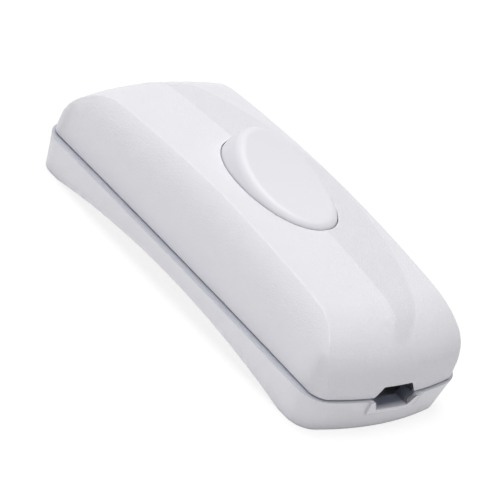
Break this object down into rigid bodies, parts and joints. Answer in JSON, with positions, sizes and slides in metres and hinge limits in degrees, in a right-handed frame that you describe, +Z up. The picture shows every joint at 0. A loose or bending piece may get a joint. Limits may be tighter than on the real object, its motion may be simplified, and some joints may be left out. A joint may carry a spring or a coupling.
{
  "type": "inline cord switch",
  "caption": "Arched white plastic cord switch: two shells with a keeled crown, an oval rocker, a see-saw contact, screw terminals and a cord slot at either end.",
  "frame": {"origin": "centre of the footprint, on the surface that the two feet stand on", "axes": "+X along the cord, towards the end whose rocker half is pressed; +Z up, out of the rocker"},
  "size_m": [0.0792, 0.0346, 0.0245],
  "materials": {
    "shell_plastic": "fine spark grain, satin",
    "rocker_plastic": "smooth satin",
    "acetal": "smooth",
    "spring_steel": "drawn wire",
    "brass": "stamped, slightly dull",
    "contact_silver": "coined",
    "plated_steel": "zinc plated",
    "clamp_plastic": "moulded"
  },
  "bodies": {
    "housing": {"upper_housing": "shell_plastic", "lower_housing": "shell_plastic", "fixed_contact": "contact_silver", "live_in_terminal": "brass", "live_out_terminal": "brass", "neutral_bar": "brass", "live_in_screw": "plated_steel", "live_out_screw": "plated_steel", "neutral_front_screw": "plated_steel", "neutral_rear_screw": "plated_steel", "front_cord_clamp": "clamp_plastic", "rear_cord_clamp": "clamp_plastic", "front_left_clamp_screw": "plated_steel", "front_right_clamp_screw": "plated_steel", "rear_left_clamp_screw": "plated_steel", "rear_right_clamp_screw": "plated_steel", "front_housing_screw": "plated_steel", "rear_housing_screw": "plated_steel"},
    "rocker": {"rocker": "rocker_plastic", "rocker_spring": "spring_steel"},
    "plunger": {"plunger": "acetal"},
    "bridge": {"contact_bridge": "brass", "moving_contact": "contact_silver"}
  },
  "joints": [
    {"name": "rocker_tilt", "type": "hinge", "parent": "housing", "child": "rocker", "pos_m": [0, 0, 0.0159], "axis": [0, -1, 0], "range_deg": [0, 21]},
    {"name": "contact_tilt", "type": "hinge", "parent": "housing", "child": "bridge", "pos_m": [0, 0, 0.0089], "axis": [0, -1, 0], "range_deg": [-12, 0]},
    {"name": "plunger_slide", "type": "slide", "parent": "rocker", "child": "plunger", "axis": [0.1822, 0, 0.9833], "range_m": [0, 0.0006], "stiffness_N_per_m": 400, "springref_m": -0.0015, "deforming": ["rocker_spring"]}
  ],
  "couplings": [
    {"joint": "contact_tilt", "follows": "rocker_tilt", "ratio": -0.5714}
  ]
}
